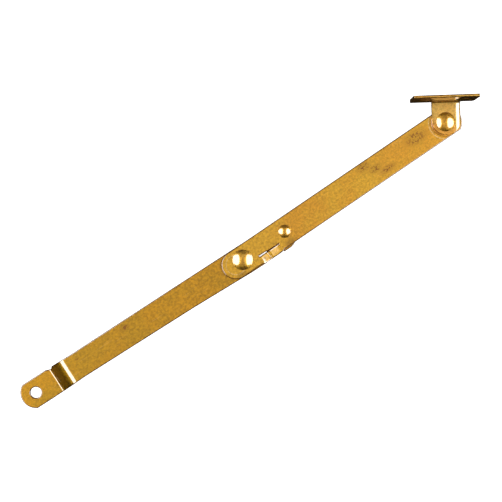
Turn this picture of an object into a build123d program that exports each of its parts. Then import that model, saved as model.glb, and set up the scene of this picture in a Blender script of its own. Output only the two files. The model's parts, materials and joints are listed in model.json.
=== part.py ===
from build123d import *
from math import atan2, cos, degrees, radians, sin, sqrt, tan
import os

# Folding stay: two flat strip arms riveted at an elbow. The lower arm ends in a cranked tab
# with one screw hole; the upper arm carries a small angle bracket on its own rivet.
# Millimetres. +X runs along the lower arm, +Z away from the mounting surface, and the origin
# is the centre of the tab's screw hole on the tab's back face.

# ---- sheet and running gaps ----
sheet = 1.5                     # steel strip of both arms and the bracket
play = 0.05                     # free gap at every turning face and round every turning shank
grip = 0.01                     # gap round a shank that is clenched tight

# ---- lower arm ----
lower_span = 122.5              # screw hole to elbow rivet
tab_width = 13.5
tab_end_radius = 8.0            # concentric with the screw hole
screw_hole_radius = 2.75
strip_half = 6.5                # half width of the strip where it leaves the crank
crank_height = 5.5              # the arm's back stands this far off the mounting surface
crank_angle = 40.0
crank_foot = 12.9               # where the tab's back face would meet the slope
foot_bend = 3.5                 # bend radii on the back of the strip
head_bend = 6.5
flare_start = 90.0              # from here to the elbow the lower edge widens
lower_top_edge = 6.9            # half width on the +Y side at the elbow
lower_bottom_edge = 7.7         # half width on the -Y side past the elbow
nose_centre = 22.6              # the hidden end is a half round this far past the elbow
nose_radius = 7.4
nose_shift = -0.3

# ---- upper arm ----
upper_span = 120.0              # elbow rivet to bracket rivet
over_centre = 1.5               # degrees by which the stop lets the arms pass a straight line
upper_top_edge = 6.85           # half widths on the +Y and -Y sides
upper_bottom_edge = 7.2
heel_centre = 4.2               # the elbow end is a half round this far behind the rivet
bracket_end_radius = 8.5        # concentric with the bracket rivet

# ---- stop: a bridge lanced from the upper arm's -Y edge dips into a notch of the lower arm ----
bridge_start = 7.75             # distances along the upper arm from the elbow rivet
shelf_end = 12.0
bridge_low_start = 12.6
bridge_low_end = 13.4
bridge_end = 19.0
shelf_drop = 0.28
bridge_drop = 1.0
bridge_inner = 3.4              # distances from the upper arm's centre line
bridge_outer = 7.8
slit_inner = 2.6                # the lancing slit is this wide at its elbow end
slit_taper_start = 12.4
bulge_run = 1.2
notch_end = 19.3
notch_swing_radius = 12.1       # clears the bridge as it swings out of the notch
slot_end = 12.0                 # a slot in the lower arm under the wide end of the slit
slot_outer = 3.7

# ---- detent near the elbow ----
detent_reach = 24.9             # from the elbow rivet along the upper arm
detent_hole_radius = 2.3

# ---- angle bracket ----
ear_width = 14.0
ear_shift = 0.4                 # centre line of the ear relative to its rivet
ear_end_radius = 6.8
ear_end_shift = 0.7             # centre of the ear's round end, towards the plate
plate_reach = 11.4              # bracket rivet to the plate's outer face
plate_length = 31.6
plate_depth = 15.0              # from the ear's back face to the plate's free edge
plate_shift = -1.5              # plate centre relative to the bracket rivet
plate_free_corner = 3.2
plate_inner_corner = 1.6
bracket_bend = 1.0              # inside radius of the fold
bracket_turn = 59.3             # the ear's direction from its rivet, degrees from +X
plate_screw_spacing = 18.4
plate_screw_radius = 2.3
plate_sink_radius = 4.0
plate_land = 0.5                # straight wall left under the countersink

# ---- rivets and washers ----
elbow_shank, elbow_head, elbow_crown = 2.5, 5.05, 1.2
bracket_shank, bracket_head, bracket_crown = 2.25, 4.7, 1.15
detent_shank, detent_head, detent_crown = 1.5, 3.2, 0.9
head_rim = 0.35                 # straight edge under each domed head
tail_height = 1.1
tail_spread = 1.5
detent_nub_radius = 2.0
detent_nub_height = 0.25
elbow_washer_thickness = 0.3
bracket_washer_thickness = 0.5
elbow_washer_radius = 6.0
bracket_washer_radius = 6.95

# ---- levels, from the mounting surface up ----
lower_back = crank_height
lower_face = lower_back + sheet
upper_back = lower_face + elbow_washer_thickness + play
upper_face = upper_back + sheet
ear_back = upper_face + bracket_washer_thickness + play
ear_face = ear_back + sheet

# ---- places ----
elbow_x = lower_span
turn = radians(over_centre)
bracket_x = elbow_x + upper_span * cos(turn)
bracket_y = upper_span * sin(turn)


def upper_plane(height):
    """A plane at the given height with its origin on the elbow axis and X along the upper arm."""
    return Plane(origin=(elbow_x, 0, height), x_dir=(cos(turn), sin(turn), 0), z_dir=(0, 0, 1))


def upper_side_plane(height, inset):
    """A plane along the upper arm's length, inset from its centre line, facing the -Y edge."""
    plane = upper_plane(height)
    return Plane(origin=plane.from_local_coords((0, -inset, 0)), x_dir=plane.x_dir, z_dir=-plane.y_dir)


def bracket_plane(height):
    """A plane at the given height on the bracket rivet's axis, with Y towards the plate."""
    across = radians(bracket_turn - 90)
    return Plane(origin=(bracket_x, bracket_y, height), x_dir=(cos(across), sin(across), 0),
                 z_dir=(0, 0, 1))


def cap_radius(half_width, rise):
    """Sphere radius of a shallow dome from its half width and its rise."""
    return (half_width**2 + rise**2) / (2 * rise)


def rivet_outline(shank, head, crown, back, face):
    """Half outline of a rivet: a domed head over face and a clenched tail under back."""
    rim = face + head_rim
    tail = shank + tail_spread
    Polyline((0, rim + crown), (0, back - tail_height), (tail - tail_height, back - tail_height))
    RadiusArc((tail - tail_height, back - tail_height), (tail, back), -tail_height)
    Polyline((tail, back), (shank, back), (shank, face), (head, face), (head, rim))
    RadiusArc((head, rim), (0, rim + crown), -cap_radius(head, crown))


# ---- lower arm ----
crank_head = crank_foot + crank_height / tan(radians(crank_angle))
crank_skew = sheet * tan(radians(crank_angle / 2))
nose_x = elbow_x + nose_centre
nose_top = nose_shift + nose_radius
nose_bottom = nose_shift - nose_radius
tab_half = tab_width / 2
tab_corner = sqrt(tab_end_radius**2 - tab_half**2)
strip_start = crank_head + head_bend
widest = 2 * lower_bottom_edge
stop_edge = bridge_inner - play
swing_start = sqrt(notch_swing_radius**2 - stop_edge**2)

with BuildPart() as lower_arm:
    with BuildSketch(Plane.XZ):
        with BuildLine():
            Polyline(
                (-tab_end_radius, 0),
                (crank_foot, 0),
                (crank_head, crank_height),
                (nose_x + nose_radius, crank_height),
                (nose_x + nose_radius, lower_face),
                (crank_head - crank_skew, lower_face),
                (crank_foot - crank_skew, sheet),
                (-tab_end_radius, sheet),
                close=True,
            )
        make_face()
        fillet(vertices().sort_by_distance((crank_foot, 0))[0], foot_bend)
        fillet(vertices().sort_by_distance((crank_foot - crank_skew, sheet))[0], foot_bend - sheet)
        fillet(vertices().sort_by_distance((crank_head, crank_height))[0], head_bend)
        fillet(vertices().sort_by_distance((crank_head - crank_skew, lower_face))[0], head_bend + sheet)
    extrude(amount=widest, both=True)
    with BuildSketch():
        with BuildLine():
            RadiusArc((-tab_corner, -tab_half), (-tab_corner, tab_half), tab_end_radius)
            Polyline(
                (-tab_corner, tab_half),
                (crank_foot, tab_half),
                (strip_start, strip_half),
                (flare_start, lower_top_edge),
                (nose_x, nose_top),
            )
            ThreePointArc((nose_x, nose_top), (nose_x + nose_radius, nose_shift), (nose_x, nose_bottom))
            Polyline(
                (nose_x, nose_bottom),
                (elbow_x, -lower_bottom_edge),
                (flare_start, -lower_top_edge),
                (strip_start, -strip_half),
                (crank_foot, -tab_half),
                (-tab_corner, -tab_half),
            )
        make_face()
    extrude(amount=lower_face + 1, mode=Mode.INTERSECT)
    with Locations((0, 0, sheet)):
        Hole(screw_hole_radius)
    with Locations((elbow_x, 0, lower_face)):
        Hole(elbow_shank + grip, depth=sheet)
    with Locations(upper_plane(lower_face)):
        with Locations((detent_reach, 0)):
            Hole(detent_hole_radius, depth=sheet)
    with BuildSketch(upper_plane(lower_back)):
        with BuildLine():
            RadiusArc((swing_start, -stop_edge), (0, -notch_swing_radius), notch_swing_radius)
            Polyline(
                (0, -notch_swing_radius),
                (0, -widest),
                (notch_end, -widest),
                (notch_end, -stop_edge),
                (swing_start, -stop_edge),
            )
        make_face()
        with Locations(((bridge_start + slot_end) / 2, -(slit_inner + slot_outer) / 2)):
            Rectangle(slot_end - bridge_start, slot_outer - slit_inner)
    extrude(amount=sheet, mode=Mode.SUBTRACT)

lower_arm.part.label = "lower_arm"
export_step(lower_arm.part, "parts/lower_arm.step")


# ---- upper arm ----
heel_radius = (upper_top_edge + upper_bottom_edge) / 2
heel_shift = (upper_top_edge - upper_bottom_edge) / 2
end_top = upper_span + sqrt(bracket_end_radius**2 - upper_top_edge**2)
end_bottom = upper_span + sqrt(bracket_end_radius**2 - upper_bottom_edge**2)

with BuildPart() as upper_arm:
    with BuildSketch(upper_plane(upper_back)):
        with BuildLine():
            ThreePointArc(
                (-heel_centre, -upper_bottom_edge),
                (-heel_centre - heel_radius, heel_shift),
                (-heel_centre, upper_top_edge),
            )
            Line((-heel_centre, upper_top_edge), (end_top, upper_top_edge))
            RadiusArc((end_top, upper_top_edge), (end_bottom, -upper_bottom_edge), bracket_end_radius)
            Polyline(
                (end_bottom, -upper_bottom_edge),
                (bridge_end + bulge_run, -upper_bottom_edge),
                (bridge_end, -bridge_outer),
                (bridge_end, -bridge_inner),
                (slit_taper_start, -slit_inner),
                (bridge_start, -slit_inner),
                (bridge_start, -upper_bottom_edge),
                (-heel_centre, -upper_bottom_edge),
            )
        make_face()
    extrude(amount=sheet)
    with BuildSketch(upper_side_plane(upper_back, bridge_inner)):
        with BuildLine():
            Polyline(
                (bridge_start, 0),
                (shelf_end, -shelf_drop),
                (bridge_low_start, -bridge_drop),
                (bridge_low_end, -bridge_drop),
                (bridge_end, 0),
                (bridge_end, sheet),
                (bridge_low_end, sheet - bridge_drop),
                (bridge_low_start, sheet - bridge_drop),
                (shelf_end, sheet - shelf_drop),
                (bridge_start, sheet),
                close=True,
            )
        make_face()
    extrude(amount=bridge_outer - bridge_inner)
    with Locations(upper_plane(upper_face)):
        with Locations((0, 0)):
            Hole(elbow_shank + play, depth=sheet)
        with Locations((detent_reach, 0)):
            Hole(detent_shank + grip, depth=sheet)
        with Locations((upper_span, 0)):
            Hole(bracket_shank + grip, depth=sheet)

upper_arm.part.label = "upper_arm"
export_step(upper_arm.part, "parts/upper_arm.step")


# ---- angle bracket: an ear on the rivet and a plate that stands up from it ----
ear_left = ear_shift - ear_width / 2
ear_right = ear_shift + ear_width / 2
plate_inner = plate_reach - sheet
fold_outside = bracket_bend + sheet
across = bracket_plane(0).x_dir
inner_face = Plane(origin=bracket_plane(ear_back).from_local_coords((0, plate_inner, 0)), x_dir=across,
                   z_dir=-bracket_plane(0).y_dir)
ear_side = Plane(origin=bracket_plane(ear_back).from_local_coords((ear_left, 0, 0)),
                 x_dir=bracket_plane(0).y_dir, z_dir=across)
fold_centre = bracket_plane(ear_face).from_local_coords((0, plate_inner, 0))
sink_depth = sheet - plate_land
sink_angle = 2 * degrees(atan2(plate_sink_radius - plate_screw_radius, sink_depth))

with BuildPart() as lid_bracket:
    with BuildSketch(bracket_plane(ear_back)):
        with BuildLine():
            ThreePointArc(
                (ear_left, ear_end_shift),
                (ear_shift, ear_end_shift - ear_end_radius),
                (ear_right, ear_end_shift),
            )
            Polyline(
                (ear_right, ear_end_shift),
                (ear_right, plate_inner + sheet / 2),
                (ear_left, plate_inner + sheet / 2),
                (ear_left, ear_end_shift),
            )
        make_face()
    extrude(amount=sheet)
    with BuildSketch(inner_face):
        with Locations((plate_shift, plate_depth / 2)):
            Rectangle(plate_length, plate_depth)
        rows = vertices().group_by(Axis.Y)
        fillet(rows[0], plate_inner_corner)
        fillet(rows[-1], plate_free_corner)
    extrude(amount=-sheet)
    fillet(edges().sort_by_distance(fold_centre)[0], bracket_bend)
    with BuildSketch(ear_side):
        with BuildLine():
            Polyline((plate_reach, fold_outside), (plate_reach, 0), (plate_reach - fold_outside, 0))
            RadiusArc((plate_reach - fold_outside, 0), (plate_reach, fold_outside), -fold_outside)
        make_face()
    extrude(amount=ear_width, mode=Mode.SUBTRACT)
    with Locations(inner_face):
        with Locations((plate_shift, plate_depth / 2)):
            with GridLocations(plate_screw_spacing, 1, 2, 1):
                CounterSinkHole(plate_screw_radius, plate_sink_radius, counter_sink_angle=sink_angle,
                                depth=2 * sheet)
    with Locations(bracket_plane(ear_face)):
        Hole(bracket_shank + play, depth=sheet)

lid_bracket.part.label = "lid_bracket"
export_step(lid_bracket.part, "parts/lid_bracket.step")


# ---- rivets ----
def upright_plane(x, y):
    """A vertical plane through (x, y), with its own Y pointing up."""
    return Plane(origin=(x, y, 0), x_dir=(1, 0, 0), z_dir=(0, -1, 0))


detent_x, detent_y, _ = tuple(upper_plane(0).from_local_coords((detent_reach, 0, 0)))

with BuildPart() as elbow_rivet:
    with BuildSketch(upright_plane(elbow_x, 0)):
        with BuildLine():
            rivet_outline(elbow_shank, elbow_head, elbow_crown, lower_back, upper_face + play)
        make_face()
    revolve(axis=Axis((elbow_x, 0, 0), (0, 0, 1)))

elbow_rivet.part.label = "elbow_rivet"
export_step(elbow_rivet.part, "parts/elbow_rivet.step")

with BuildPart() as bracket_rivet:
    with BuildSketch(upright_plane(bracket_x, bracket_y)):
        with BuildLine():
            rivet_outline(bracket_shank, bracket_head, bracket_crown, upper_back, ear_face + play)
        make_face()
    revolve(axis=Axis((bracket_x, bracket_y, 0), (0, 0, 1)))

bracket_rivet.part.label = "bracket_rivet"
export_step(bracket_rivet.part, "parts/bracket_rivet.step")

with BuildPart() as detent_rivet:
    with BuildSketch(upright_plane(detent_x, detent_y)):
        with BuildLine():
            top = upper_face + head_rim + detent_crown
            nub = upper_back - detent_nub_height
            Polyline((0, top), (0, nub), (detent_nub_radius - detent_nub_height, nub))
            RadiusArc((detent_nub_radius - detent_nub_height, nub), (detent_nub_radius, upper_back),
                      -detent_nub_height)
            Polyline(
                (detent_nub_radius, upper_back),
                (detent_shank, upper_back),
                (detent_shank, upper_face),
                (detent_head, upper_face),
                (detent_head, upper_face + head_rim),
            )
            RadiusArc((detent_head, upper_face + head_rim), (0, top), -cap_radius(detent_head, detent_crown))
        make_face()
    revolve(axis=Axis((detent_x, detent_y, 0), (0, 0, 1)))

detent_rivet.part.label = "detent_rivet"
export_step(detent_rivet.part, "parts/detent_rivet.step")


# ---- friction washers ----
with BuildPart() as elbow_washer:
    with BuildSketch(Plane.XY.offset(lower_face)):
        with Locations((elbow_x, 0)):
            Circle(elbow_washer_radius)
            Circle(elbow_shank + grip, mode=Mode.SUBTRACT)
    extrude(amount=elbow_washer_thickness)

elbow_washer.part.label = "elbow_washer"
export_step(elbow_washer.part, "parts/elbow_washer.step")

with BuildPart() as bracket_washer:
    with BuildSketch(Plane.XY.offset(upper_face)):
        with Locations((bracket_x, bracket_y)):
            Circle(bracket_washer_radius)
            Circle(bracket_shank + grip, mode=Mode.SUBTRACT)
    extrude(amount=bracket_washer_thickness)

bracket_washer.part.label = "bracket_washer"
export_step(bracket_washer.part, "parts/bracket_washer.step")
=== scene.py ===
import json
import math
from dataclasses import dataclass

import bmesh
import bpy
from mathutils import Matrix, Vector, noise
from mathutils.geometry import tessellate_polygon


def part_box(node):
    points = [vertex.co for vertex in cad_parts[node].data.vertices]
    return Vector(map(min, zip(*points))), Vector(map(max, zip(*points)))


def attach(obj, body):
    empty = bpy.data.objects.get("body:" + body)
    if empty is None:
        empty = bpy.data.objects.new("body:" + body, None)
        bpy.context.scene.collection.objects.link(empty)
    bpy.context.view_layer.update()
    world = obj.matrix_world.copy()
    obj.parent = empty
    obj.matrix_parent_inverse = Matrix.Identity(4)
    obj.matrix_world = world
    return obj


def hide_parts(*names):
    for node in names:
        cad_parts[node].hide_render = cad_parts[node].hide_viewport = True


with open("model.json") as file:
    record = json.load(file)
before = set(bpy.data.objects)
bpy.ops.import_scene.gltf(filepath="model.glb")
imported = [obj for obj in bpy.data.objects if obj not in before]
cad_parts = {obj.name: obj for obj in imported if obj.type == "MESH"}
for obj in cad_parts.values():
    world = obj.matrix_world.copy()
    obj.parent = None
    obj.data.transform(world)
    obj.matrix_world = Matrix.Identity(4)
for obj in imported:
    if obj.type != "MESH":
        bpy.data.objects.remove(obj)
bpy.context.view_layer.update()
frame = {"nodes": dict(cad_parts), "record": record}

MM = 0.001

# ---- where things are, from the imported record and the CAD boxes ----
record = frame["record"]
joints = {joint["name"]: joint for joint in record["behaviour"]["joints"]}
mounts = {mount["name"]: mount for mount in record["mounts"]}
elbow = Vector(joints["elbow_fold"]["pos_m"])
pivot = Vector(joints["bracket_swivel"]["pos_m"])
tab_hole = mounts["frame_screw"]["dims"]["r_mm"]
LOWER_SPAN = elbow.x / MM
UPPER_SPAN = math.hypot(pivot.x - elbow.x, pivot.y - elbow.y) / MM
OVER_CENTRE = math.atan2(pivot.y - elbow.y, pivot.x - elbow.x)

# ---- heights of the sheets, in millimetres like every size down to the camera ----
SHEET = 1.5
SLACK = 0.05                          # air between a washer and the sheet above it
LOWER_BACK = 5.5
UPPER_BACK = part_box("elbow_washer")[1].z / MM + SLACK
UPPER_FACE = UPPER_BACK + SHEET
EAR_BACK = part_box("bracket_washer")[1].z / MM + SLACK
EAR_FACE = EAR_BACK + SHEET

# ---- lower arm: the CAD's shape, with its tab and notch a few tenths off it ----
TAB_TOP = 6.8
TAB_BOTTOM = 7.05
TAB_RADIUS = 7.8
TAB_FLAT_START = 6.0
NICK = ((0.2, 1.0), (1.6, 0.6), (3.0, 0.0))  # beside the crank: distance before its foot, and depth
STRIP_HALF = 6.5
CRANK_FOOT = 12.9
CRANK_ANGLE = math.radians(40)
FOOT_BEND = 3.0
HEAD_BEND = 6.5
FLARE_START = 90.0
TOP_EDGE = 6.9
BOTTOM_EDGE = 7.7
NOSE_CENTRE = 22.6
NOSE_RADIUS = 7.4
NOSE_SHIFT = -0.3

# ---- upper arm and the stop, measured along and across the upper arm from the elbow ----
UPPER_TOP = 6.85
UPPER_BOTTOM = 7.2
HEEL_CENTRE = 4.2
BRACKET_END = 8.5
BRIDGE_START = 7.75
SHELF_END = 12.0
BRIDGE_LOW_START = 12.6
BRIDGE_LOW_END = 13.4
BRIDGE_END = 19.0
SHELF_DROP = 0.28
SHELF_COIN = 1.3                      # share by which the shelf's face is struck deeper than its back
SHELF_LEAN = 0.09                     # the shelf's face also falls away towards the edge
SHELF_LEAN_START = 1.2
BRIDGE_DROP = 1.0
BRIDGE_RUN_OUT = 0.45                 # how far the bridge's rise runs on past its end
BRIDGE_EASE = 0.28                    # share of the rise that is rounded
BRIDGE_INNER = 3.5
BRIDGE_OUTER = 7.8
SLIT_INNER = 2.9
SLIT_TAPER_START = 12.4
SLIT_THIN = 0.24
SLIT_TIP = 0.08
NOTCH_END = 19.3
STOP_EDGE = 3.5
SWING_RADIUS = 12.1
SLOT_END = 12.0
SLOT_OUTER = 3.7

# ---- rivets: a hole fits tightly where the shank is fixed and loosely where it turns ----
ELBOW_SHANK = 2.5
BRACKET_SHANK = 2.25
DETENT_SHANK = 1.5
TIGHT = 0.01
LOOSE = 0.05
DETENT_REACH = 24.9
DETENT_HOLE = 2.3
HEAD_RIM = 0.35
HEAD_ROUND = 0.16
HEAD_ROUND_DROP = 0.3
HEAD_UNDERCUT = 0.08
TAIL_CHAMFER = 0.12
TAIL_NARROWING = 0.62                 # of the tail's height, over its rounded end
TAIL_MIDDLE = 0.97                    # the tail's height at its middle, as a share

# ---- angle bracket, measured across the ear and from its rivet towards the plate ----
EAR_WIDTH = 14.0
EAR_SHIFT = 0.4
BEND_START = 9.4
PLATE_CORNER = 3.3                    # height of the band along the plate's free edge
RIM_BEVEL = 0.62                      # along the plate's free edge
EDGE_BEVEL = 0.3
ROLL_WIDTH = 2.6                      # the ear's right side, rolled over by the press
ROLL_DROP = 0.28
BRINK_START = 0.58                    # share of the roll where it starts to fall faster
BRINK_DROP = 0.35
LEFT_ROLL_WIDTH = 0.9
LEFT_ROLL_DROP = 0.08
ROLL_CURVE = 1.6

# ---- mesh ----
EDGE_ROUND = 0.42                     # rounding of the sheared and tumbled edges
EDGE_SHADE = 0.18                     # how far the painted edge shade runs onto the face
EDGE_STEPS = 4
ARC_STEP = math.radians(6)
BEND_STEP = 0.3                       # spacing of the edges across a bend
STRIP_STEP = 4                        # spacing of the edges across a flat strip
LENGTHWISE_CUTS = (-4.2, -1.4, 1.4, 4.2)
SMOOTH_ANGLE = math.radians(40)       # up to which two faces are shaded as one
BEVEL_ANGLE = math.radians(35)        # from which the bracket's edges are rounded
HOLLOW_DEPTH = 0.016
HOLLOW_PITCH = (0.045, 0.11)          # waves to the millimetre, along and across
LOWER_SEED = 3.0
UPPER_SEED = 8.0

# ---- camera, in metres: square above the arms, which rise to the right ----
ARM_RISE = math.radians(32.7)
CAMERA_HEIGHT = 0.500
VIEW_WIDTH = 0.2463
VIEW_OFFSET = (0.00407, 0.00432)      # view centre from the elbow rivet, right and up

right = Vector((math.cos(ARM_RISE), -math.sin(ARM_RISE), 0))
up = Vector((math.sin(ARM_RISE), math.cos(ARM_RISE), 0))
view_centre = Vector((elbow.x, elbow.y, UPPER_FACE * MM))
view_centre += right * VIEW_OFFSET[0] + up * VIEW_OFFSET[1]


def make_camera():
    data = bpy.data.cameras.new("camera")
    data.sensor_fit = "HORIZONTAL"
    data.angle = 2 * math.atan(VIEW_WIDTH / 2 / CAMERA_HEIGHT)
    data.clip_start = 0.01
    camera = bpy.data.objects.new("camera", data)
    place = view_centre + Vector((0, 0, CAMERA_HEIGHT))
    camera.matrix_world = Matrix((
        (right.x, up.x, 0, place.x),
        (right.y, up.y, 0, place.y),
        (0, 0, 1, place.z),
        (0, 0, 0, 1),
    ))
    bpy.context.collection.objects.link(camera)
    bpy.context.scene.camera = camera


# ---- node shorthand ----
class Nodes:
    """Adds shader nodes to one tree; an input is a socket or a plain value."""

    def __init__(self, tree):
        self.tree = tree

    def add(self, kind, inputs=(), **settings):
        node = self.tree.nodes.new(kind)
        for key, value in settings.items():
            setattr(node, key, value)
        for key, value in dict(inputs).items():
            self.feed(node.inputs[key], value)
        return node

    def feed(self, socket, value):
        if isinstance(value, bpy.types.NodeSocket):
            self.tree.links.new(value, socket)
        else:
            socket.default_value = value

    def math(self, operation, a, b=0.0):
        return self.add("ShaderNodeMath", {0: a, 1: b}, operation=operation).outputs[0]

    def fade(self, value, start, end, low=0.0, high=1.0):
        """Smoothly from low at start to high at end."""
        inputs = {"Value": value, "From Min": start, "From Max": end, "To Min": low, "To Max": high}
        return self.add("ShaderNodeMapRange", inputs, interpolation_type="SMOOTHSTEP").outputs[0]

    def dot(self, a, b):
        return self.add("ShaderNodeVectorMath", {0: a, 1: b}, operation="DOT_PRODUCT").outputs["Value"]

    def mix(self, factor, a, b, blend="MIX"):
        node = self.add("ShaderNodeMix", data_type="RGBA", blend_type=blend)
        self.feed(node.inputs[0], factor)
        self.feed(node.inputs[6], a)
        self.feed(node.inputs[7], b)
        return node.outputs[2]

    def largest(self, values):
        total = values[0]
        for value in values[1:]:
            total = self.math("MAXIMUM", total, value)
        return total

    def noise(self, vector, scale, detail=2.0, roughness=0.5):
        inputs = {"Vector": vector, "Scale": scale, "Detail": detail, "Roughness": roughness}
        return self.add("ShaderNodeTexNoise", inputs).outputs[0]


# ---- studio: a dim room with a soft box on each side of the camera ----
BOX_LIGHT = 3.6
BOX_MIDDLE = math.radians(35.5)       # how far each box's middle is from straight above
BOX_HALF_WIDTH = math.radians(18.5)
BOX_HALF_LENGTH = math.radians(30)
BOX_SQUARENESS = 2.6
BOX_EDGE = (0.60, 1.25)               # where a box's light starts and ends to fade
ZENITH_LIGHT = 0.24
BACK_LIGHT = 0.06                     # the room beyond the top of the picture
FRONT_LIGHT = 0.015                   # the room beyond the foot of the picture
BELOW_LIGHT = 0.45                    # share of the room's light that comes from below
ROOM_TINT = (1.0, 0.66, 0.36, 1)      # warm walls and ceiling
WHITE = (1, 1, 1, 1)


def make_studio():
    """Lights the part from the world; the camera itself sees plain white behind it."""
    scene = bpy.context.scene
    scene.view_settings.view_transform = "Standard"
    world = bpy.data.worlds.new("studio")
    world.use_nodes = True
    nodes = Nodes(world.node_tree)
    direction = nodes.add("ShaderNodeTexCoord").outputs["Generated"]
    across = nodes.dot(direction, right)
    along = nodes.dot(direction, up)
    height = nodes.dot(direction, (0, 0, 1))
    side = nodes.math("ARCTAN2", across, height)
    rise = nodes.math("DIVIDE", nodes.math("ARCTAN2", along, height), BOX_HALF_LENGTH)
    lean = nodes.math("SUBTRACT", nodes.math("ABSOLUTE", side), BOX_MIDDLE)
    lean = nodes.math("DIVIDE", lean, BOX_HALF_WIDTH)
    corners = [nodes.math("POWER", nodes.math("ABSOLUTE", part), BOX_SQUARENESS) for part in (lean, rise)]
    box = nodes.fade(nodes.math("ADD", *corners), *BOX_EDGE, 1.0, 0.0)
    room = nodes.fade(along, -0.5, 0.5, FRONT_LIGHT, BACK_LIGHT)
    room = nodes.math("MULTIPLY", room, nodes.fade(height, -0.15, 0.05, BELOW_LIGHT, 1.0))
    overhead = nodes.fade(height, 0.80, 0.98, 0.0, ZENITH_LIGHT - BACK_LIGHT)
    room = nodes.mix(1.0, nodes.math("ADD", room, overhead), ROOM_TINT, "MULTIPLY")
    lit = nodes.mix(1.0, room, nodes.math("MULTIPLY", box, BOX_LIGHT), "ADD")
    seen = nodes.add("ShaderNodeLightPath").outputs["Is Camera Ray"]
    colour = nodes.mix(seen, lit, WHITE)
    background = world.node_tree.nodes["Background"]
    nodes.feed(background.inputs["Color"], colour)
    scene.world = world


FLOOR_SIZE = 6
FLOOR_GAP = 0.0002


def make_floor():
    """A white sheet just under the part, which lights nothing and isn't reflected."""
    bpy.ops.mesh.primitive_plane_add(size=FLOOR_SIZE, location=(elbow.x, 0, -FLOOR_GAP))
    floor = bpy.context.object
    floor.name = "floor"
    paint = bpy.data.materials.new("floor_white")
    paint.use_nodes = True
    shader = paint.node_tree.nodes["Principled BSDF"]
    shader.inputs["Base Color"].default_value = (0.9, 0.9, 0.9, 1)
    shader.inputs["Roughness"].default_value = 0.9
    shader.inputs["Emission Color"].default_value = WHITE
    shader.inputs["Emission Strength"].default_value = 1.0
    floor.data.materials.append(paint)
    floor.visible_glossy = False
    floor.visible_diffuse = False


# ---- mesh building, in millimetres ----
ALONG = Vector((1, 0, 0))
ACROSS = Vector((0, 1, 0))
ON_FACE = 0.99                        # share of the sheet's thickness that counts as its upper face


def arc(centre, radius, start, end):
    """Points on a circular arc, angles in degrees."""
    start, end = math.radians(start), math.radians(end)
    steps = max(2, round(abs(end - start) / ARC_STEP))
    turns = [start + (end - start) * i / steps for i in range(steps + 1)]
    return [(centre[0] + radius * math.cos(a), centre[1] + radius * math.sin(a)) for a in turns]


def inset(loop, distance):
    """The loop moved to its left by distance, with short mitres."""
    points = [Vector(point) for point in loop]
    moved = []
    for before, here, after in zip(points[-1:] + points[:-1], points, points[1:] + points[:1]):
        first, second = (here - before).normalized(), (after - here).normalized()
        normal_1, normal_2 = Vector((-first.y, first.x)), Vector((-second.y, second.x))
        share = max(1 + normal_1.dot(normal_2), 0.6)
        moved.append(here + (normal_1 + normal_2) * distance / share)
    return moved


def sheet_piece(outline, holes, thickness):
    """A flat sheet with rounded edges: outline runs anticlockwise and holes clockwise.
    Its verts carry "rim", which is 1 on the rounded edge and 0 on the flat faces; it masks the painted
    edge shade."""
    bm = bmesh.new()
    rim = bm.verts.layers.float.new("rim")
    rounding = [(EDGE_ROUND * (1 - math.sin(a)), EDGE_ROUND * (1 - math.cos(a)))
                for a in (math.pi / 2 * i / EDGE_STEPS for i in range(EDGE_STEPS + 1))]
    # an outer ring on each face, so the painted edge shade fades out over EDGE_SHADE onto the face
    rounding.insert(0, (EDGE_ROUND + EDGE_SHADE, 0.0))
    levels = rounding + [(d, thickness - z) for d, z in reversed(rounding)]
    caps = {0: [], len(levels) - 1: []}
    for loop in [outline] + holes:
        rings = []
        for index, (distance, z) in enumerate(levels):
            ring = [bm.verts.new((*point, z)) for point in inset(loop, distance)]
            for vert in ring:
                vert[rim] = 0.0 if index in caps else 1.0
            rings.append(ring)
            if index in caps:
                caps[index].append(ring)
        for low, high in zip(rings, rings[1:]):
            count = len(low)
            for i in range(count):
                j = (i + 1) % count
                bm.faces.new((low[i], low[j], high[j], high[i]))
    for index, rings in caps.items():
        verts = [vert for ring in rings for vert in ring]
        for corners in tessellate_polygon([[vert.co for vert in ring] for ring in rings]):
            bm.faces.new([verts[i] for i in corners])
    bmesh.ops.recalc_face_normals(bm, faces=bm.faces)
    return bm


def cut(bm, positions, normal, offset=Vector((0, 0, 0))):
    """Adds edges where the planes across normal at these distances meet the mesh."""
    for position in positions:
        geometry = bm.verts[:] + bm.edges[:] + bm.faces[:]
        bmesh.ops.bisect_plane(bm, geom=geometry, dist=1e-4, plane_co=offset + normal * position,
                               plane_no=normal)


def spaced(start, end, step):
    """Even positions from start to end, about a step apart."""
    count = max(1, round((end - start) / step))
    return [start + (end - start) * i / count for i in range(count + 1)]


def finish_mesh(name, bm, body, node, material):
    """Writes the mesh in metres, smooths it, and makes it stand for its CAD node."""
    bmesh.ops.scale(bm, vec=(MM, MM, MM), verts=bm.verts)
    mesh = bpy.data.meshes.new(name)
    bm.to_mesh(mesh)
    bm.free()
    mesh.shade_smooth()
    mesh.set_sharp_from_angle(angle=SMOOTH_ANGLE)
    piece = bpy.data.objects.new(name, mesh)
    bpy.context.collection.objects.link(piece)
    weighted = piece.modifiers.new("normals", "WEIGHTED_NORMAL")
    weighted.keep_sharp = True
    mesh.materials.append(material)
    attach(piece, body)
    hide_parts(node)
    return piece


def on_upper(u, v):
    """A point given along and across the upper arm from the elbow."""
    turn_cos, turn_sin = math.cos(OVER_CENTRE), math.sin(OVER_CENTRE)
    return (LOWER_SPAN + u * turn_cos - v * turn_sin, u * turn_sin + v * turn_cos)


def hollow(point, seed):
    """How far a rolled face lies below true flat, from 0 to twice HOLLOW_DEPTH."""
    place = Vector((point.x * HOLLOW_PITCH[0], point.y * HOLLOW_PITCH[1], seed))
    return HOLLOW_DEPTH * (1 + noise.noise(place))


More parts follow.
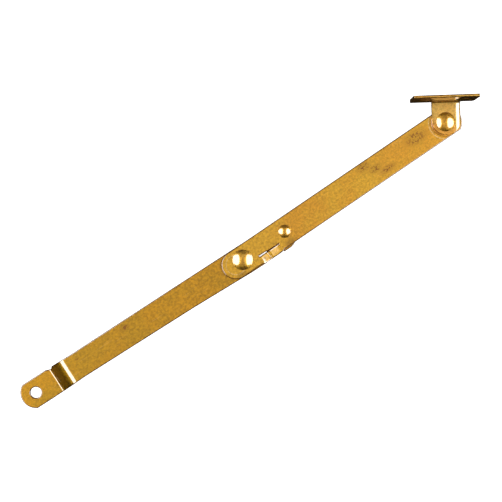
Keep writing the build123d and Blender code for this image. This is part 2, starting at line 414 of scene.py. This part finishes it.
def crank_height_at(x, foot_radius, head_radius):
    """Height of a face of the lower arm at x, given its bend radii about the shared centres."""
    foot_x = CRANK_FOOT - FOOT_BEND * math.tan(CRANK_ANGLE / 2)
    head_x = CRANK_FOOT + LOWER_BACK / math.tan(CRANK_ANGLE) + HEAD_BEND * math.tan(CRANK_ANGLE / 2)
    foot_z, head_z = FOOT_BEND, LOWER_BACK - HEAD_BEND
    foot_end = foot_x + foot_radius * math.sin(CRANK_ANGLE)
    head_start = head_x - head_radius * math.sin(CRANK_ANGLE)
    if x <= foot_x:
        return foot_z - foot_radius
    if x <= foot_end:
        return foot_z - math.sqrt(foot_radius**2 - (x - foot_x)**2)
    if x < head_start:
        return foot_z - foot_radius * math.cos(CRANK_ANGLE) + (x - foot_end) * math.tan(CRANK_ANGLE)
    if x < head_x:
        return head_z + math.sqrt(head_radius**2 - (head_x - x)**2)
    return head_z + head_radius


def ramp(value, start, end, ease):
    """1 up to start, 0 from end, straight between and rounded over the last ease of the way."""
    share = min(max((value - start) / (end - start), 0), 1)
    if share < 1 - ease:
        return 1 - share / (1 - ease / 2)
    return (1 - share)**2 / (2 * ease * (1 - ease / 2))


def bridge_dip(u, share):
    """How far the bridge dips at u: a shallow coined shelf, a step and a long way up.
    share is 0 on the bridge's back and 1 on its face, which the punch leaves steeper."""
    shelf = SHELF_DROP * (1 + SHELF_COIN * share)
    if u < SHELF_END:
        return shelf * max((u - BRIDGE_START) / (SHELF_END - BRIDGE_START), 0)
    if u < BRIDGE_LOW_START:
        step = (u - SHELF_END) / (BRIDGE_LOW_START - SHELF_END)
        return shelf + (BRIDGE_DROP - shelf) * step * step * (3 - 2 * step)
    return BRIDGE_DROP * ramp(u, BRIDGE_LOW_END, BRIDGE_END + BRIDGE_RUN_OUT, BRIDGE_EASE)


def make_lower_arm(material):
    """The cranked strip: screw tab, crank, flared elbow end, and the notch and slot of the stop."""
    corner_top = math.degrees(math.asin(TAB_TOP / TAB_RADIUS))
    corner_bottom = math.degrees(math.asin(TAB_BOTTOM / TAB_RADIUS))
    strip_start = CRANK_FOOT + LOWER_BACK / math.tan(CRANK_ANGLE) + HEAD_BEND
    nose_x = LOWER_SPAN + NOSE_CENTRE
    low_edge = -BOTTOM_EDGE
    arc_foot = math.degrees(math.asin(low_edge / SWING_RADIUS) - OVER_CENTRE)
    arc_head = -math.degrees(math.asin(SLOT_OUTER / SWING_RADIUS))
    notch_low = low_edge - NOTCH_END * math.sin(OVER_CENTRE)
    outline = arc((0, 0), TAB_RADIUS, 180 - corner_top, 180 + corner_bottom)
    outline += [(TAB_FLAT_START, -TAB_BOTTOM), (CRANK_FOOT, -TAB_BOTTOM + 0.1)]
    outline += [(strip_start, -STRIP_HALF), (FLARE_START, -TOP_EDGE), (LOWER_SPAN, low_edge)]
    outline += [on_upper(u, v) for u, v in arc((0, 0), SWING_RADIUS, arc_foot, arc_head)]
    outline += [on_upper(u, v) for u, v in (
        (BRIDGE_START, -SLOT_OUTER), (BRIDGE_START, -SLIT_INNER), (SLOT_END, -SLIT_INNER),
        (SLOT_END, -STOP_EDGE), (NOTCH_END, -STOP_EDGE), (NOTCH_END, notch_low))]
    outline += arc((nose_x, NOSE_SHIFT), NOSE_RADIUS, -90, 90)
    outline += [(FLARE_START, TOP_EDGE), (strip_start, STRIP_HALF), (CRANK_FOOT + 1.0, TAB_TOP)]
    outline += [(CRANK_FOOT - before, TAB_TOP - depth) for before, depth in NICK]
    holes = [arc((0, 0), tab_hole, 360, 0)[:-1],
             arc((LOWER_SPAN, 0), ELBOW_SHANK + TIGHT, 360, 0)[:-1],
             arc(on_upper(DETENT_REACH, 0), DETENT_HOLE, 360, 0)[:-1]]
    bm = sheet_piece(outline, holes, SHEET)
    cut(bm, spaced(CRANK_FOOT - 2.5, strip_start, BEND_STEP), ALONG)
    cut(bm, spaced(strip_start + 3, nose_x, STRIP_STEP), ALONG)
    cut(bm, (-6.5, -4, 4, 6.5, 9), ALONG)
    cut(bm, LENGTHWISE_CUTS, ACROSS)
    for vert in bm.verts:
        x, y = vert.co.x, vert.co.y
        share = vert.co.z / SHEET
        back = crank_height_at(x, FOOT_BEND, HEAD_BEND)
        face = crank_height_at(x, FOOT_BEND - SHEET, HEAD_BEND + SHEET)
        vert.co.z = back + (face - back) * share
        if share > ON_FACE:
            vert.co.z -= hollow(vert.co, LOWER_SEED)
    return finish_mesh("lower_arm_strip", bm, "lower", "lower_arm", material)


def make_upper_arm(material):
    """The straight strip: rounded heel, and the slit and coined bridge of the stop."""
    heel_radius = (UPPER_TOP + UPPER_BOTTOM) / 2
    heel_shift = (UPPER_TOP - UPPER_BOTTOM) / 2
    end_low = math.degrees(math.asin(UPPER_BOTTOM / BRACKET_END))
    end_high = math.degrees(math.asin(UPPER_TOP / BRACKET_END))
    inner = -BRIDGE_INNER
    outline = arc((-HEEL_CENTRE, heel_shift), heel_radius, 90, 270)
    outline += [(x, -UPPER_BOTTOM) for x in (2, BRIDGE_START - 0.6)]
    outline += [  # the bridge bulges past the edge, with eased corners
        (BRIDGE_START, -BRIDGE_OUTER + 0.25), (BRIDGE_START + 0.6, -BRIDGE_OUTER),
        (BRIDGE_END - 1.5, -BRIDGE_OUTER), (BRIDGE_END - 0.2, -BRIDGE_OUTER + 0.15),
        (BRIDGE_END + 1.4, -UPPER_BOTTOM),
    ]
    outline += arc((UPPER_SPAN, 0), BRACKET_END, -end_low, end_high)
    holes = [arc(place, radius, 360, 0)[:-1] for place, radius in (
        ((0, 0), ELBOW_SHANK + LOOSE), ((DETENT_REACH, 0), DETENT_SHANK + TIGHT),
        ((UPPER_SPAN, 0), BRACKET_SHANK + TIGHT))]
    holes.append([
        (BRIDGE_START, inner), (BRIDGE_START, -SLIT_INNER), (SLIT_TAPER_START - 0.6, -SLIT_INNER - 0.1),
        (SLIT_TAPER_START - 0.1, inner + SLIT_THIN), (BRIDGE_END, inner + SLIT_TIP),
        (BRIDGE_END + 0.1, inner + SLIT_TIP / 2), (BRIDGE_END, inner)])
    bm = sheet_piece(outline, holes, SHEET)
    cut(bm, spaced(BRIDGE_START + 0.2, SHELF_END, 0.4), ALONG)
    cut(bm, spaced(SHELF_END, BRIDGE_LOW_END, 0.12), ALONG)
    cut(bm, spaced(BRIDGE_LOW_END + 0.3, BRIDGE_END + 1.2, BEND_STEP), ALONG)
    cut(bm, spaced(BRIDGE_END + 4, UPPER_SPAN, STRIP_STEP), ALONG)
    cut(bm, LENGTHWISE_CUTS, ACROSS)
    for vert in bm.verts:
        u, v = vert.co.x, vert.co.y
        share = vert.co.z / SHEET
        vert.co.z += UPPER_BACK
        if v < inner + 0.05:
            vert.co.z -= bridge_dip(u, share)
            if BRIDGE_START < u < SHELF_END:
                outer = min((inner - v) / (BRIDGE_OUTER - BRIDGE_INNER), 1)
                start = min((u - BRIDGE_START) / SHELF_LEAN_START, 1)
                vert.co.z -= SHELF_LEAN * share * outer * start
        if share > ON_FACE:
            vert.co.z -= hollow(vert.co, UPPER_SEED)
        vert.co.x, vert.co.y = on_upper(u, v)
    return finish_mesh("upper_arm_strip", bm, "upper", "upper_arm", material)


def sharp_edges(bm):
    """The edges between two faces that meet at a real corner."""
    return [edge for edge in bm.edges if len(edge.link_faces) == 2
            and edge.calc_face_angle() > BEVEL_ANGLE]


def bevel(bm, edges, size):
    bmesh.ops.bevel(bm, geom=edges, offset=size, segments=3, profile=0.5, affect="EDGES",
                    clamp_overlap=True)


def on_bracket_axes():
    """The bracket's own axes: across the ear, and from its rivet out to the plate."""
    plate = mounts["plate_face"]["axis"]
    outward = Vector(plate).normalized()
    return Vector((outward.y, -outward.x, 0)), outward


def make_bracket(material):
    """The CAD bracket with its edges rounded and the ear's sides rolled over by the press."""
    bm = bmesh.new()
    bm.from_mesh(frame["nodes"]["lid_bracket"].data)
    bmesh.ops.scale(bm, vec=(1 / MM, 1 / MM, 1 / MM), verts=bm.verts)
    bmesh.ops.remove_doubles(bm, verts=bm.verts, dist=1e-3)
    bmesh.ops.dissolve_limit(bm, angle_limit=math.radians(0.5), verts=bm.verts, edges=bm.edges)
    across, outward = on_bracket_axes()
    origin = Vector((pivot.x, pivot.y, 0)) / MM
    corner_foot = max(vert.co.z for vert in bm.verts) - PLATE_CORNER
    bevel(bm, [edge for edge in sharp_edges(bm) if min(vert.co.z for vert in edge.verts) > corner_foot],
          RIM_BEVEL)
    bevel(bm, sharp_edges(bm), EDGE_BEVEL)
    ear_right = EAR_SHIFT + EAR_WIDTH / 2
    ear_left = EAR_SHIFT - EAR_WIDTH / 2
    cut(bm, spaced(ear_right - ROLL_WIDTH, ear_right - 0.1, 0.12), across, origin)
    cut(bm, spaced(ear_left + 0.35, ear_left + LEFT_ROLL_WIDTH, 0.2), across, origin)
    cut(bm, spaced(-4.0, 8.0, 1.5), outward, origin)
    rim = bm.verts.layers.float.new("rim")
    for vert in bm.verts:
        place = vert.co - origin
        x, y = place.dot(across), place.dot(outward)
        share = (vert.co.z - EAR_BACK) / SHEET
        # painted shade: the ear's sides and back get the dark edge colour, the plate does not
        vert[rim] = 1.0 if y < BEND_START and share < 0.9 else 0.0
        if ear_left - 0.1 < x < ear_right + 0.1 and y < BEND_START:
            fade_in = min(max((BEND_START - y) / 0.8, 0), 1)
            right_roll = max((x - ear_right + ROLL_WIDTH) / ROLL_WIDTH, 0)
            left_roll = max((ear_left + LEFT_ROLL_WIDTH - x) / LEFT_ROLL_WIDTH, 0)
            brink = max(right_roll - BRINK_START, 0) / (1 - BRINK_START)
            roll = ROLL_DROP * right_roll**ROLL_CURVE + BRINK_DROP * brink**2
            roll += LEFT_ROLL_DROP * left_roll**ROLL_CURVE
            vert.co.z -= share * fade_in * roll
    return finish_mesh("angle_bracket", bm, "bracket", "lid_bracket", material)


def lathe(profile, centre, steps=96):
    """A solid of revolution from (radius, height) pairs that end on the axis or where they start."""
    bm = bmesh.new()
    rings = []
    for radius, height in profile:
        if radius < 1e-6:
            rings.append([bm.verts.new((centre[0], centre[1], height))])
            continue
        turns = [2 * math.pi * i / steps for i in range(steps)]
        rings.append([bm.verts.new((centre[0] + radius * math.cos(a), centre[1] + radius * math.sin(a),
                                    height)) for a in turns])
    for low, high in zip(rings, rings[1:]):
        for i in range(steps):
            j = (i + 1) % steps
            corners = [low[i % len(low)], low[j % len(low)], high[j % len(high)], high[i % len(high)]]
            bm.faces.new(list(dict.fromkeys(corners)))
    bmesh.ops.recalc_face_normals(bm, faces=bm.faces)
    return bm


def round_corner(inner, outer, steps=4):
    """Points of a quarter round from inner to outer, leaving inner outwards."""
    (r0, z0), (r1, z1) = inner, outer
    angles = [math.pi / 2 * i / steps for i in range(steps + 1)]
    return [(r0 + (r1 - r0) * math.sin(a), z1 + (z0 - z1) * math.cos(a)) for a in angles]


@dataclass(frozen=True)
class Rivet:
    """Radii of the shank, head and tail, rise of the dome, the faces it clamps, and the tail's height."""

    shank: float
    head: float
    crown: float
    face: float
    back: float
    tail: float
    tail_height: float


ELBOW_RIVET = Rivet(ELBOW_SHANK, 5.05, 1.2, UPPER_FACE + SLACK, LOWER_BACK, 4.0, 1.1)
BRACKET_RIVET = Rivet(BRACKET_SHANK, 4.7, 1.15, EAR_FACE + SLACK, UPPER_BACK, 3.75, 1.1)
DETENT_RIVET = Rivet(DETENT_SHANK, 3.2, 0.9, UPPER_FACE, UPPER_BACK, 2.0, 0.25)


def make_rivet(name, body, node, centre, rivet, material):
    """A domed head over a shank, with a clenched tail or a detent nub under the sheet."""
    head, face, back = rivet.head, rivet.face, rivet.back
    ball = (head**2 + rivet.crown**2) / (2 * rivet.crown)
    top = face + HEAD_RIM + rivet.crown
    dome_steps = 18
    radii = [(head - HEAD_ROUND) * i / dome_steps for i in range(dome_steps + 1)]
    profile = [(radius, top - (ball - math.sqrt(ball**2 - radius**2))) for radius in radii]
    last = profile[-1]
    profile += round_corner(last, (head, last[1] - HEAD_ROUND_DROP))[1:]
    profile += [(head, face + HEAD_UNDERCUT), (head - HEAD_UNDERCUT, face), (rivet.shank, face)]
    profile += [(rivet.shank, back), (rivet.tail - TAIL_CHAMFER, back), (rivet.tail, back - TAIL_CHAMFER)]
    tail_steps = 5
    for i in range(1, tail_steps + 1):
        turn = math.pi / 2 * i / tail_steps
        narrowing = rivet.tail_height * TAIL_NARROWING * (1 - math.cos(turn))
        profile.append((rivet.tail - narrowing, back - rivet.tail_height * math.sin(turn)))
    profile.append((0, back - rivet.tail_height * TAIL_MIDDLE))
    bm = lathe(profile, centre)
    return finish_mesh(name, bm, body, node, material)


def make_washer(name, body, node, centre, hole, material):
    """A flat ring with a rounded outer edge, in the box of its CAD node."""
    low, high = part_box(node)
    bottom, top = low.z / MM, high.z / MM
    radius = (high.x - low.x) / 2 / MM
    soft = (top - bottom) * 0.4
    corner = round_corner((radius - soft, bottom), (radius, bottom + soft))
    profile = [(hole, bottom)] + corner
    profile += [(r, top + bottom - z) for r, z in reversed(corner)]
    profile += [(hole, top), (hole, bottom)]
    bm = lathe(profile, centre)
    bmesh.ops.remove_doubles(bm, verts=bm.verts, dist=1e-5)
    return finish_mesh(name, bm, body, node, material)


# ---- finishes ----
# worn places: along and across the upper arm from the elbow, half length and half width, in millimetres
STAINS = ((74.5, 4.5, 5.0, 4.0), (79.0, 0.5, 5.0, 3.0), (84.0, -3.0, 6.0, 2.5), (104.0, 2.0, 9.0, 5.0),
          (-67.0, 5.0, 4.0, 1.8), (-95.0, 5.6, 1.6, 1.0))
SCUFFS = ((24.5, -6.0, 4.5, 2.6), (-4.0, -6.0, 4.0, 2.0), (9.5, -5.6, 1.6, 1.4))
# pale circles about the heel and the bracket: along, across, radius and half width
PALE_CIRCLES = ((-4.2, -0.2, 4.8, 0.35), (UPPER_SPAN, 0.0, 8.1, 0.45))
STAIN_COLOUR = (0.20, 0.06, 0.01, 1)
SCUFF_COLOUR = (0.20, 0.10, 0.015, 1)
# the lighter tone laid in thin circles about the heel and the bracket
PALE_CIRCLE_COLOUR = (1.0, 0.78, 0.42, 1)
SCRATCH_COLOUR = (0.95, 0.62, 0.20, 1)
# painted shade: the dark brown laid over the rounded edges of the sheets and the ear's sides
PAINTED_EDGE_SHADE_COLOUR = (0.32, 0.13, 0.018, 1)

# how fine each pattern is, in cells to the metre
BROAD_SCALE = 55
MOTTLE_SCALE = 900
GRAIN_SCALE = 2600
SPECK_SCALE = 1100
SCRATCH_SCALE = 1900
RIPPLE_SCALE = 350
SCRATCH_TURN = 0.5
RELIEF_DEPTH = 0.00003


def away_from(nodes, place, along, across):
    """The place as seen from a point of the upper arm."""
    x, y = on_upper(along, across)
    inputs = {0: place, 1: (x * MM, y * MM, 0)}
    return nodes.add("ShaderNodeVectorMath", inputs, operation="SUBTRACT").outputs[0]


def oval_mark(nodes, place, along, across, half_length, half_width):
    """1 at the middle of an oval on the arms, fading to 0 at its rim."""
    moved = away_from(nodes, place, along, across)
    lengthwise = nodes.dot(moved, (1 / (half_length * MM), 0, 0))
    crosswise = nodes.dot(moved, (0, 1 / (half_width * MM), 0))
    reach = nodes.math("SQRT", nodes.math("ADD", nodes.math("MULTIPLY", lengthwise, lengthwise),
                                          nodes.math("MULTIPLY", crosswise, crosswise)))
    return nodes.fade(reach, 0.2, 1.0, 1.0, 0.0)


def circle_mark(nodes, place, along, across, radius, half_width):
    """1 on a circle about a point of the upper arm, fading to 0 on each side of it."""
    moved = away_from(nodes, place, along, across)
    flat = nodes.add("ShaderNodeVectorMath", {0: moved, 1: (1, 1, 0)}, operation="MULTIPLY").outputs[0]
    reach = nodes.add("ShaderNodeVectorMath", {0: flat}, operation="LENGTH").outputs["Value"]
    gap = nodes.math("ABSOLUTE", nodes.math("SUBTRACT", reach, radius * MM))
    return nodes.fade(gap, 0.0, half_width * MM, 1.0, 0.0)


def wear(nodes, place, mottle, colour):
    """Stains, pale circles and scuffs over a colour, each broken up by the mottling."""
    layers = (
        ([oval_mark(nodes, place, *oval) for oval in STAINS], (0.46, 0.56), 0.9, STAIN_COLOUR),
        ([circle_mark(nodes, place, *circle) for circle in PALE_CIRCLES], (0.35, 0.55), 0.6, PALE_CIRCLE_COLOUR),
        ([oval_mark(nodes, place, *oval) for oval in SCUFFS], (0.35, 0.6), 0.7, SCUFF_COLOUR),
    )
    for marks, mottle_range, strength, paint in layers:
        share = nodes.math("MULTIPLY", nodes.largest(marks), nodes.fade(mottle, *mottle_range))
        colour = nodes.mix(nodes.math("MULTIPLY", share, strength), colour, paint)
    return colour


def plated(name, gold, copper, roughness, lacquer=3.0, worn=False):
    """Lacquered brass plating over steel, mottled, with fine rolling grain, specks and scratches, and
    painted shade on the rounded edges.
    """
    material = bpy.data.materials.new(name)
    material.use_nodes = True
    nodes = Nodes(material.node_tree)
    shader = material.node_tree.nodes["Principled BSDF"]
    place = nodes.add("ShaderNodeTexCoord").outputs["Object"]
    grain_place = nodes.add("ShaderNodeMapping", {"Vector": place, "Scale": (0.06, 1, 1)}).outputs[0]
    scratch_place = nodes.add("ShaderNodeMapping", {"Vector": place, "Rotation": (0, 0, SCRATCH_TURN),
                                                    "Scale": (0.03, 1, 1)}).outputs[0]
    broad = nodes.noise(place, BROAD_SCALE, 3, 0.6)
    mottle = nodes.noise(place, MOTTLE_SCALE, 4, 0.7)
    grain = nodes.noise(grain_place, GRAIN_SCALE, 3, 0.6)
    speck = nodes.noise(place, SPECK_SCALE, 2, 0.5)
    scratch = nodes.fade(nodes.noise(scratch_place, SCRATCH_SCALE, 2, 0.5), 0.66, 0.74)

    colour = nodes.mix(nodes.fade(broad, 0.38, 0.66), (*gold, 1), (*copper, 1))
    colour = nodes.mix(nodes.math("MULTIPLY", scratch, 0.35), colour, SCRATCH_COLOUR)
    if worn:
        colour = wear(nodes, place, mottle, colour)
    # painted shade: the rounded edges marked by "rim" are darkened towards the edge shade colour
    rim = nodes.add("ShaderNodeAttribute", attribute_name="rim").outputs["Fac"]
    colour = nodes.mix(nodes.math("MULTIPLY", rim, 0.85), colour, PAINTED_EDGE_SHADE_COLOUR)
    shade = nodes.fade(mottle, 0.3, 0.7, 0.77, 1.21)
    shade = nodes.math("MULTIPLY", shade, nodes.fade(grain, 0.3, 0.7, 0.93, 1.06))
    shade = nodes.math("MULTIPLY", shade, nodes.fade(speck, 0.74, 0.80, 1.0, 0.5))
    nodes.feed(shader.inputs["Base Color"], nodes.mix(1.0, colour, shade, "MULTIPLY"))

    rough = nodes.fade(mottle, 0.3, 0.7, roughness * 0.85, roughness * 1.2)
    rough = nodes.math("ADD", rough, nodes.math("MULTIPLY", scratch, 0.12))
    nodes.feed(shader.inputs["Roughness"], rough)
    relief = nodes.math("ADD", nodes.math("MULTIPLY", grain, 0.6), mottle)
    relief = nodes.math("SUBTRACT", relief, nodes.math("MULTIPLY", scratch, 0.8))
    bump = nodes.add("ShaderNodeBump", {"Height": relief, "Strength": 0.25, "Distance": RELIEF_DEPTH})
    nodes.feed(shader.inputs["Normal"], bump.outputs[0])
    ripple = nodes.add("ShaderNodeBump", {"Height": nodes.noise(place, RIPPLE_SCALE, 2, 0.5),
                                          "Strength": 0.3, "Distance": RELIEF_DEPTH})
    nodes.feed(shader.inputs["Coat Normal"], ripple.outputs[0])
    shader.inputs["Metallic"].default_value = 1.0
    shader.inputs["Coat Weight"].default_value = 1.0
    shader.inputs["Coat Roughness"].default_value = 0.05
    shader.inputs["Coat IOR"].default_value = lacquer
    return material


make_camera()
make_studio()
make_floor()
lower_strip = plated("lower_strip_plating", (0.67, 0.34, 0.012), (0.58, 0.32, 0.013), 0.45, worn=True)
upper_strip = plated("upper_strip_plating", (0.82, 0.47, 0.036), (0.80, 0.40, 0.030), 0.45, worn=True)
pressed = plated("bracket_plating", (0.84, 0.54, 0.12), (0.82, 0.40, 0.06), 0.40)
polished = plated("rivet_plating", (1.0, 0.56, 0.07), (0.98, 0.50, 0.05), 0.36, lacquer=2.8)
washers = plated("washer_plating", (0.84, 0.42, 0.035), (0.80, 0.36, 0.03), 0.40)
elbow_place = (elbow.x / MM, elbow.y / MM)
pivot_place = (pivot.x / MM, pivot.y / MM)
detent_place = on_upper(DETENT_REACH, 0)

make_lower_arm(lower_strip)
make_upper_arm(upper_strip)
make_bracket(pressed)
make_rivet("elbow_rivet_domed", "lower", "elbow_rivet", elbow_place, ELBOW_RIVET, polished)
make_rivet("bracket_rivet_domed", "upper", "bracket_rivet", pivot_place, BRACKET_RIVET, polished)
make_rivet("detent_rivet_domed", "upper", "detent_rivet", detent_place, DETENT_RIVET, polished)
make_washer("elbow_washer_disc", "lower", "elbow_washer", elbow_place, ELBOW_SHANK + TIGHT, washers)
make_washer("bracket_washer_disc", "upper", "bracket_washer", pivot_place, BRACKET_SHANK + TIGHT, washers)
